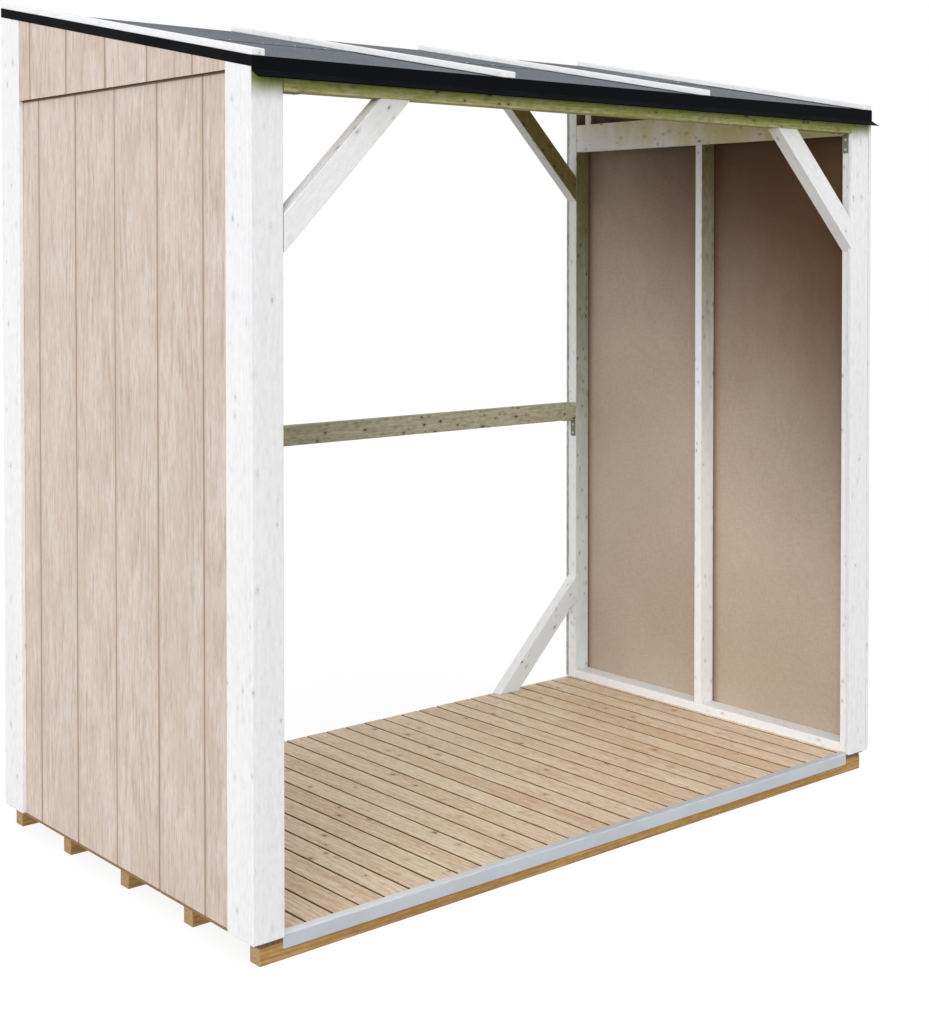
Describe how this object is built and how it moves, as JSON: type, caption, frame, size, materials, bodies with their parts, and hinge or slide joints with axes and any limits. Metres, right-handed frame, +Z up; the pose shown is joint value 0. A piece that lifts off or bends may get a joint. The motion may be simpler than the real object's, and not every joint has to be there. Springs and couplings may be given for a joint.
{
  "type": "log store",
  "caption": "Open-fronted log store with a pent roof, grooved end walls, white corner boards, an open braced back and a boarded floor on bearers.",
  "frame": {"origin": "on the ground, under the middle of the overall box", "axes": "+X along the front to the right as seen from the front, -Y out of the open front, +Z up"},
  "size_m": [2.2, 1.252, 2.23],
  "materials": {
    "white_timber": "white stain over planed softwood with small dark knots",
    "grooved_siding": "warm beige primer over an embossed cedar grain, satin",
    "weathered_timber": "planed softwood, green-stained and weathered",
    "floor_pine": "planed pine boards, bare",
    "bearer_timber": "sawn, pressure-treated, ochre brown",
    "roof_boards": "bare softwood boards",
    "roof_felt": "slate grey mineral roofing felt, matt and granular",
    "black_trim": "black coated sheet steel, satin",
    "sill_metal": "pale grey-white coated metal angle",
    "bracket_steel": "dull zinc-coated steel"
  },
  "bodies": {
    "root": {"bearers": "bearer_timber", "floor_deck": "floor_pine", "sill_angle": "sill_metal", "left_bottom_plate": "white_timber", "right_bottom_plate": "white_timber", "left_front_stud": "white_timber", "right_front_stud": "white_timber", "left_mid_stud": "white_timber", "right_mid_stud": "white_timber", "left_rear_post": "white_timber", "right_rear_post": "white_timber", "left_top_rail": "white_timber", "right_top_rail": "white_timber", "left_cripple_stud": "white_timber", "right_cripple_stud": "white_timber", "left_wall_panel": "grooved_siding", "right_wall_panel": "grooved_siding", "left_gable_panel": "grooved_siding", "right_gable_panel": "grooved_siding", "front_left_board": "white_timber", "front_right_board": "white_timber", "left_front_side_board": "white_timber", "right_front_side_board": "white_timber", "rear_left_board": "white_timber", "rear_right_board": "white_timber", "left_rear_side_board": "white_timber", "right_rear_side_board": "white_timber", "front_header": "weathered_timber", "front_left_brace": "white_timber", "front_right_brace": "white_timber", "rear_beam": "weathered_timber", "rear_mid_rail": "weathered_timber", "rear_upper_left_brace": "weathered_timber", "rear_upper_right_brace": "weathered_timber", "rear_lower_left_brace": "white_timber", "rear_lower_right_brace": "white_timber", "rafters": "weathered_timber", "roof_deck": "roof_boards", "roof_felt": "roof_felt", "verge_trims": "black_trim", "eave_flashing": "black_trim", "rear_trim": "black_trim", "roof_battens": "white_timber", "angle_brackets": "bracket_steel"}
  },
  "joints": []
}
